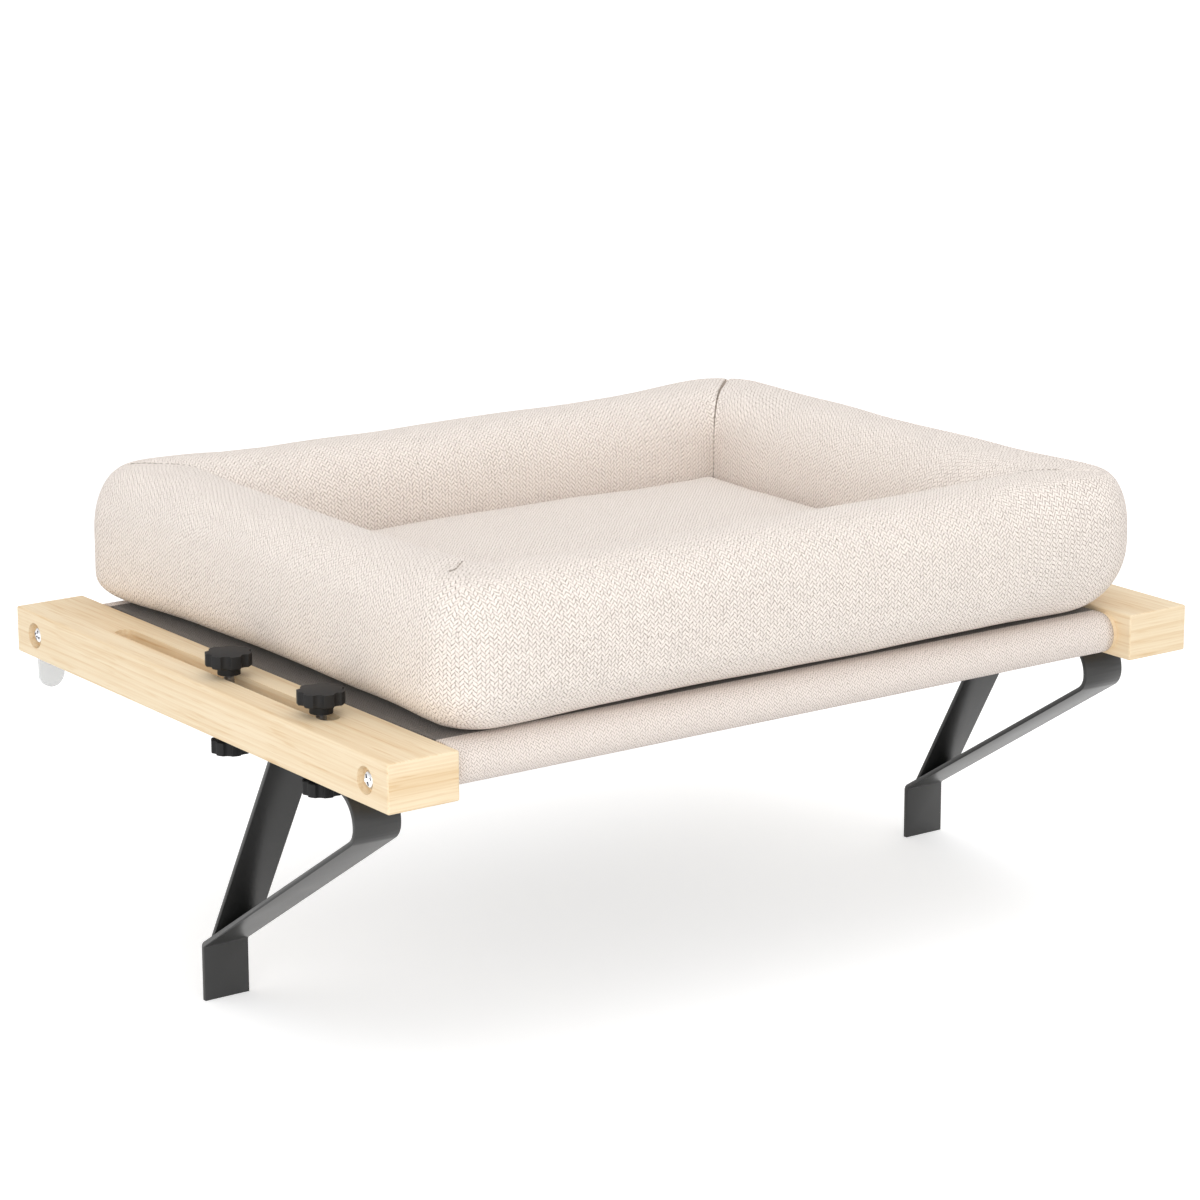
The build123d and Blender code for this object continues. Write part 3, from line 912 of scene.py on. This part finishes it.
def rim_section(height, foot, shoulder):
    """Closed section of the rim as (inset, height) points, from its inner foot outwards."""
    points = []

    def line(start, end, steps):
        for k in range(steps):
            t = k / steps
            points.append(tuple(a + (b - a) * t for a, b in zip(start, end)))

    def arc(centre, axes, start, end, steps):
        for k in range(steps):
            angle = math.radians(start + (end - start) * k / steps)
            reach = (axes[0] * math.cos(angle), axes[1] * math.sin(angle))
            points.append((centre[0] + reach[0], centre[1] + reach[1]))

    round_x, round_z = RIM_WIDTH - RIM_INNER, height - RIM_INNER
    line((RIM_WIDTH, 0), (foot[0], 0), 6)
    arc(foot, foot, 270, 180, 10)
    line((0, foot[1]), (0, height - shoulder[1]), 4)
    arc((shoulder[0], height - shoulder[1]), shoulder, 180, 90, 10)
    line((shoulder[0], height), (round_x, height), 4)
    arc((round_x, round_z), (RIM_INNER, RIM_INNER), 90, 0, 9)
    line((RIM_WIDTH, round_z), (RIM_WIDTH, 0), 8)
    return points


def blended_section(first, second, first_share, second_share):
    """Section of the rim between two corners, by the share that each has in it."""
    middle_share = 1 - first_share - second_share

    def mixed(first, second, middle):
        ends = np.array(first) * first_share + np.array(second) * second_share
        return ends + np.array(middle) * middle_share

    return rim_section(*(mixed(*sizes) for sizes in zip(first[2:], second[2:], RIM_MIDDLE[2:])))


def corner_shift(end, share):
    """How far the two corners at the front or back move a point at a share of the width."""
    left, right = RIM_CORNERS[f"{end}_left"].x, RIM_CORNERS[f"{end}_right"].x
    return (1 - share) * (left - RIM_LEFT) + share * (right - RIM_RIGHT)


def build_rim():
    """Rim mesh with a UV map in metres that is cut at the mitre of each corner."""
    width, depth = RIM_RIGHT - RIM_LEFT, RIM_BACK - RIM_FRONT
    sides = [
        ((RIM_LEFT, RIM_FRONT), (1, 0), width),
        ((RIM_RIGHT, RIM_FRONT), (0, 1), depth),
        ((RIM_RIGHT, RIM_BACK), (-1, 0), width),
        ((RIM_LEFT, RIM_BACK), (0, -1), depth),
    ]
    # For each section: its points, their lengths along the rim before and after the mitre, their
    # heights up the cloth, and its side and turn
    rows, runs, back_runs, heights, places = [], [], [], [], []
    start = 0.0
    for side, ((origin_x, origin_y), (ax, ay), span) in enumerate(sides):
        before, after = RIM_CORNERS[CORNER_ORDER[side - 1]], RIM_CORNERS[CORNER_ORDER[side]]
        r0, r1 = before.radius, after.radius
        straight = span - r0 - r1
        steps = round(straight / STATION)
        next_start = start + straight + r1 * math.pi / 2
        stations = [(k / steps, None) for k in range(steps)] + [(1.0, turn) for turn in TURNS]
        for share, turn in stations:
            near, far = 0.0, 1.0
            if turn is None:
                near = 1 - smooth_step(0, CORNER_BLEND, share * straight)
                far = 1 - smooth_step(0, CORNER_BLEND, (1 - share) * straight)
            section = blended_section(before, after, near, far)
            draw = RIM_DRAW_IN[side] * (1 - near - far)
            row, run, back_run = [], [], []
            for inset, lift in section:
                radius, centre = r1 - 0.5 * inset, r1 + 0.5 * inset
                if turn is None:
                    low = r0 + 0.5 * inset
                    along = low + share * (span - low - centre)
                    inward = inset + draw * max(1 - inset / RIM_WIDTH, 0)
                    run.append(start + along - r0)
                else:
                    angle = turn * math.pi / 2
                    along = span - centre + radius * math.sin(angle)
                    inward = centre - radius * math.cos(angle)
                    run.append(start + span - centre - r0 + radius * angle)
                    back_run.append(next_start + 0.5 * inset - radius * (math.pi / 2 - angle))
                x = origin_x + ax * along - ay * inward
                y = origin_y + ay * along + ax * inward
                u, w = (x - RIM_LEFT) / width, (y - RIM_FRONT) / depth
                front, back = corner_shift("front", u), corner_shift("back", u)
                row.append((x + (1 - w) * front + w * back, y, RIM_BASE + lift))
            rows.append(row)
            runs.append(run)
            back_runs.append(back_run)
            places.append((side, turn))
            lengths = lengths_along(section + section[:1])
            heights.append(lengths - lengths[OUTER_START])
        start = next_start
    count, rings = len(rows), len(rows[0])
    faces, uvs = [], []
    for i in range(count):
        n = (i + 1) % count
        turn, next_turn = places[i][1], places[n][1]
        past_mitre = turn is not None and turn >= MITRE
        own = back_runs[i] if past_mitre else runs[i]
        following = back_runs[n] if past_mitre and next_turn is not None else runs[n]
        if n == 0:
            following = [run + start for run in following]
        for j in range(rings):
            m = (j + 1) % rings
            faces.append((i * rings + j, n * rings + j, n * rings + m, i * rings + m))
            for run, height in (
                (own[j], heights[i][j]),
                (following[j], heights[n][j]),
                (following[m], heights[n][j + 1]),
                (own[m], heights[i][j + 1]),
            ):
                uvs.append((run * MM, height * MM))
    rim = piece_from("cushion_rim", [p for row in rows for p in row], faces, CUSHION_FABRIC, uvs)
    return rim, places, rings


CLOTH_SETTINGS = {
    "quality": 5, "mass": 0.3, "tension_stiffness": 12, "compression_stiffness": 12,
    "shear_stiffness": 6, "bending_stiffness": 0.4, "use_pressure": True,
    "vertex_group_mass": "held",
}
CLOTH_FRAMES = 20


def inflate(obj, held, pressure, cap):
    """Blow the closed mesh up as cloth, hold some points and cap every move, in millimetres."""
    rest = points_of(obj)
    obj.vertex_groups.new(name="held").add(held, 1.0, "REPLACE")
    cloth = obj.modifiers.new("swell", "CLOTH")
    set_all(cloth.settings, CLOTH_SETTINGS | {"uniform_pressure_force": pressure})
    cloth.settings.effector_weights.gravity = 0
    cloth.point_cache.frame_start = 1
    cloth.point_cache.frame_end = CLOTH_FRAMES
    for number in range(1, CLOTH_FRAMES + 1):
        scene.frame_set(number)
    graph = bpy.context.evaluated_depsgraph_get()
    step = points_of(obj.evaluated_get(graph)) - rest
    obj.modifiers.remove(cloth)
    obj.vertex_groups.clear()
    scene.frame_set(1)
    limit = cap * MM
    step *= limit / (limit + np.linalg.norm(step, axis=1, keepdims=True))
    move_points(obj, rest + step)


SEAM_DEPTH, SEAM_SHARE = 4.5, 0.011
HOLLOW_DEPTH, HOLLOW_SHARE = 0.5, 0.05
DIMPLE = np.array([-195.5, -144.0])  # middle of the short crease where the near mitre sinks in
DIMPLE_REACH = np.array([17.0, 14.5])
DIMPLE_DEPTH, DIMPLE_LENGTH, DIMPLE_WIDTH = 4.0, 11.0, 4.5
DIMPLE_FLOOR = 90.0  # only what is higher goes down


def crease_rim(rim, places, rings):
    """Press a seam into each mitre from the shoulder down the inner side; gives its two lips."""
    points, normals = points_of(rim), points_of(rim, "normal")
    seams = {}
    for i, (side, turn) in enumerate(places):
        if turn is None or abs(turn - MITRE) > 0.1:
            continue
        corner = CORNER_ORDER[side]
        first = SEAM_START[corner]
        sharp = SEAM_DEPTH * math.exp(-((abs(turn - MITRE) / SEAM_SHARE) ** 2))
        broad = HOLLOW_DEPTH * math.exp(-((abs(turn - MITRE) / HOLLOW_SHARE) ** 2))
        for j in range(first, rings):
            k = i * rings + j
            points[k] -= normals[k] * (sharp + broad) * smooth_step(first - 1, first + 4, j) * MM
            if turn == MITRE and first + 2 < j < rings - 2:
                seams.setdefault(corner, []).append((k - 2 * rings, k + 2 * rings))
    away = points[:, :2] / MM - DIMPLE
    ahead = DIMPLE_REACH / np.linalg.norm(DIMPLE_REACH)
    along, across = away @ ahead, away @ (-ahead[1], ahead[0])
    dip = np.exp(-((along / DIMPLE_LENGTH) ** 2) - (across / DIMPLE_WIDTH) ** 2)
    points[:, 2] -= DIMPLE_DEPTH * MM * dip * (points[:, 2] > DIMPLE_FLOOR * MM)
    move_points(rim, points)
    return seams


def soften(obj, depth, scale, seed):
    """Slight unevenness of stuffing, along the normals."""
    offset = Vector((seed, seed * 1.7, seed * 0.3))
    points, normals = points_of(obj), points_of(obj, "normal")
    lift = np.array([noise.noise(Vector(c) * scale + offset) for c in points])
    move_points(obj, points + normals * lift[:, None] * depth * MM)


def flatten_and_round(obj):
    """Flatten a padded piece underneath, then round it."""
    points = points_of(obj)
    points[:, 2] = np.maximum(points[:, 2], RIM_BASE * MM)
    move_points(obj, points)
    apply_modifier(obj, "SUBSURF", levels=1, render_levels=1)


SLIDE_ROOM = 10.0  # that the front knobs slide forward
KNOB_GAP = 2.0
STAND_OUT = 18.0  # that the cushion gains again above the knobs, and as much beyond them
GAIN_START, GAIN_END = 3.0, 26.0  # heights over the knobs
GAIN_REACH = 30.0  # past the ends of their travel


def clear_knobs(obj):
    """Tuck the lower sides in where the knobs travel beside them."""
    knobs = np.array([box_mm(f"{clamp}_knob") for clamp in CLAMPS])
    travel = np.abs(knobs[:, :, 1]).max() + SLIDE_ROOM
    top = knobs[:, 1, 2].max()
    inner = np.abs(knobs[:, :, 0]).min() - KNOB_GAP
    points = points_of(obj) * 1000
    for k, (x, y, z) in enumerate(points):
        above = smooth_step(top + GAIN_START, top + GAIN_END, z)
        beyond = smooth_step(travel, travel + GAIN_REACH, abs(y))
        limit = inner + STAND_OUT * above + STAND_OUT * beyond
        if abs(x) > limit:
            points[k, 0] = math.copysign(limit, x)
    move_points(obj, points * MM)


rim, rim_places, rim_rings = build_rim()
rim_held = [
    i * rim_rings + j
    for i, (side, turn) in enumerate(rim_places)
    for j in range(rim_rings)
    if j < FOOT_HELD or j >= (CREST if turn == MITRE else rim_rings - INNER_HELD)
]
inflate(rim, rim_held, pressure=4.0, cap=5.0)
soften(rim, depth=1.0, scale=16.0, seed=3.0)
clear_knobs(rim)
seam_lines = crease_rim(rim, rim_places, rim_rings)
flatten_and_round(rim)
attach(rim, "cushion")
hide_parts(*rim_nodes)


def run_of(first, steps):
    """Edges that join a run of points."""
    return [(k, k + 1) for k in range(first, first + steps)]


# Thread in the mitre seams, between their two lips; its dark colour is partly painted shade of the
# creases
THREAD_OFFSET, NEAR_STEPS = 0.1, 6
seam_points, seam_edges = [], []
for line in seam_lines.values():
    seam_edges += run_of(len(seam_points), len(line) - 1)
    for pair in line:
        a, b = (rim.data.vertices[k] for k in pair)
        sunk = (a.normal + b.normal) / 2 * THREAD_OFFSET * MM
        seam_points.append(((a.co + b.co) / 2 - sunk) * 1000)

# The near mitre's thread shows as a short row on the crest; its dark colour paints the shade of the
# pucker at the dimple there
seam_edges += run_of(len(seam_points), NEAR_STEPS)
for k in range(NEAR_STEPS + 1):
    x, y = DIMPLE + DIMPLE_REACH * (k / NEAR_STEPS - 0.5)
    hit, spot, normal, face = rim.ray_cast(Vector((x, y, 200.0)) * MM, Vector((0, 0, -1)))
    seam_points.append((spot + normal * THREAD_OFFSET * MM) * 1000)
seam_stitches = grown(
    "cushion_seam_stitches",
    STITCH_ROW,
    seam_points,
    {"Pitch": 3.4, "Stitch Length": 3.0, "Thread Radius": 0.6},
    edges=seam_edges,
    Seed=5,
    Material=SEAM_THREAD_AND_SHADE,
)
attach(seam_stitches, "cushion")

PAD_EDGE, PAD_THICK, PAD_CROWN = 16.0, 34.0, 6.0
PAD_TUCK = (10, 4)  # that the pad reaches under the rim, in all, along X and Y
PAD_SHIFT = 3.0  # to the right, with the rim
PAD_COLUMNS, PAD_ROWS = 58, 44
UNDERSIDE_PATTERN = 40  # by which the weave underneath is moved on
pad_low, pad_high = box_mm("cushion_floor_pad")


def build_pad():
    """Floor pad: a grid folded round a soft edge, closed underneath."""
    width, depth = (pad_high - pad_low)[:2] + PAD_TUCK
    middle_x, middle_y = ((pad_low + pad_high) / 2)[:2] + (PAD_SHIFT, 0.0)

    def height(x, y):
        fall = min(1.0, min(width / 2 - abs(x), depth / 2 - abs(y)) / PAD_EDGE)
        crown = PAD_CROWN * math.cos(math.pi * x / width) * math.cos(math.pi * y / depth)
        return PAD_THICK - PAD_EDGE + PAD_EDGE * math.sqrt(max(1 - (1 - fall) ** 2, 0)) + crown

    points, faces, uvs = [], [], []
    for is_top in (True, False):
        for r in range(PAD_ROWS + 1):
            for c in range(PAD_COLUMNS + 1):
                x, y = (c / PAD_COLUMNS - 0.5) * width, (r / PAD_ROWS - 0.5) * depth
                z = height(x, y) if is_top else 0.0
                points.append((middle_x + x, middle_y + y, RIM_BASE + z))
    stride = PAD_COLUMNS + 1
    layer = stride * (PAD_ROWS + 1)

    def face(first, ahead, aside):
        faces.append((first, first + ahead, first + ahead + aside, first + aside))
        for k in faces[-1]:
            drop = 0 if k < layer else UNDERSIDE_PATTERN
            uvs.append((points[k][0] * MM, (points[k][1] + drop) * MM))

    for a in range(0, PAD_ROWS * stride, stride):
        for c in range(PAD_COLUMNS):
            face(a + c, 1, stride)
            face(a + c + layer + stride, 1, -stride)
    for c in range(PAD_COLUMNS):
        face(c + layer, 1, -layer)
        face(c + PAD_ROWS * stride, 1, layer)
    for a in range(0, PAD_ROWS * stride, stride):
        face(a, stride, layer)
        face(a + PAD_COLUMNS + layer, stride, -layer)
    return piece_from("cushion_floor", points, faces, CUSHION_FABRIC, uvs), layer


pad, pad_layer = build_pad()
inflate(pad, list(range(pad_layer, 2 * pad_layer)), pressure=1.5, cap=4.0)
soften(pad, depth=1.6, scale=12.0, seed=8.0)
flatten_and_round(pad)
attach(pad, "cushion")
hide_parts("cushion_floor_pad")

# Sling: one sheet with a sleeve round each dowel
CLOTH, CLEARANCE = 0.8, 0.05
SLEEVE_REACH, LAP = 34.0, 8.0
SAG, RIPPLE = 0.5, 0.10
SLING_COLUMNS, TOP_POINTS, WRAP_STEPS = 84, 64, 40
sling_low, sling_high = box_mm("sling_cloth")
dowel_low, dowel_high = box_mm("front_dowel")
dowel_y = -(dowel_low[1] + dowel_high[1]) / 2
dowel_z = (dowel_low[2] + dowel_high[2]) / 2
wrap_radius = (dowel_high[2] - dowel_low[2]) / 2 + CLEARANCE + CLOTH / 2
sheet_z = dowel_z + wrap_radius


def sling_path():
    """Middle line of the cloth in Y and Z, from the rear sewn edge round to the top."""
    tip = (dowel_y - SLEEVE_REACH, sheet_z - CLOTH - CLEARANCE)
    sewn = (tip[0] + LAP, tip[1])
    from_centre = Vector((sewn[0] - dowel_y, sewn[1] - dowel_z))
    tangent_turn = math.acos(wrap_radius / from_centre.length)
    start_angle = math.atan2(from_centre.y, from_centre.x) + tangent_turn
    end_angle = math.pi / 2 + 2 * math.pi

    def on_dowel(angle):
        reach = (wrap_radius * math.cos(angle), wrap_radius * math.sin(angle))
        return dowel_y + reach[0], dowel_z + reach[1]

    points = [tip, ((tip[0] + sewn[0]) / 2, tip[1])]
    touch = on_dowel(start_angle)
    for t in (0, 0.2, 0.4, 0.6, 0.8):
        points.append((sewn[0] + (touch[0] - sewn[0]) * t, sewn[1] + (touch[1] - sewn[1]) * t))
    for k in range(WRAP_STEPS + 1):
        points.append(on_dowel(start_angle + (end_angle - start_angle) * k / WRAP_STEPS))
    return points


def sling_sag(y):
    """How far the stretched cloth hangs at a place between the dowels."""
    return -SAG * (1 - (y / dowel_y) ** 2)


def build_sling():
    """Cloth with its thickness, UV in metres along X and along the cloth."""
    half = sling_path()
    top = [(y, sheet_z) for y in np.linspace(dowel_y, -dowel_y, TOP_POINTS)[1:-1]]
    line = half + top + [(-y, z) for y, z in reversed(half)]
    flat = lengths_along(line)
    xs = np.linspace(sling_low[0], sling_high[0], SLING_COLUMNS)
    points, faces, uvs = [], [], []
    tangents = np.gradient(np.array(line), axis=0)
    for x in xs:
        for (y, z), t in zip(line, tangents):
            normal = np.array([-t[1], t[0]])
            normal = normal / (np.linalg.norm(normal) + 1e-9)
            ripple = RIPPLE * noise.noise(Vector((x * 0.02, y * 0.05, z * 0.05)))
            is_top = abs(y) < dowel_y and z > sheet_z - 0.1
            sag = sling_sag(y) if is_top else 0.0
            points.append((x, y + normal[0] * ripple, z + normal[1] * ripple + sag))
    stride = len(line)
    for c in range(len(xs) - 1):
        for r in range(stride - 1):
            a = c * stride + r
            faces.append((a, a + stride, a + stride + 1, a + 1))
            for column, row in ((c, r), (c + 1, r), (c + 1, r + 1), (c, r + 1)):
                uvs.append((xs[column] * MM, flat[row] * MM))
    sling = piece_from("sling", points, faces, SLING_FABRIC, uvs)
    apply_modifier(sling, "SOLIDIFY", thickness=CLOTH * MM, offset=0)
    return sling, (xs[-1] - xs[0]) * MM, flat[-1] * MM


sling, sling_width, sling_length = build_sling()
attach(sling, "frame")
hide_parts("sling_cloth")

# Sewn rows, as (inset from the dowel, side of the cloth): two through each sleeve's seam, on top
# and underneath, and one where the painted shade on the cloth starts
SEWN_ROWS = ((28.0, 1), (28.0, -1), (32.0, 1), (32.0, -1), (6.6, 1))
SEWN_MARGIN = 1.5
row_ends, hem_edges = [], []
for way in (1, -1):
    for inset, side in SEWN_ROWS:
        y = way * (dowel_y - inset)
        z = sheet_z + CLOTH / 2 + sling_sag(y) if side > 0 else sheet_z - CLOTH * 1.5 - CLEARANCE
        hem_edges += run_of(len(row_ends), 1)
        row_ends += [(sling_low[0] + SEWN_MARGIN, y, z), (sling_high[0] - SEWN_MARGIN, y, z)]
hem_stitches = grown(
    "sling_stitches",
    STITCH_ROW,
    row_ends,
    {"Pitch": 3.2, "Stitch Length": 2.5, "Thread Radius": 0.3},
    edges=hem_edges,
    Seed=7,
    Material=SHADED_HEM_THREAD,
)
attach(hem_stitches, "frame")

low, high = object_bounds()
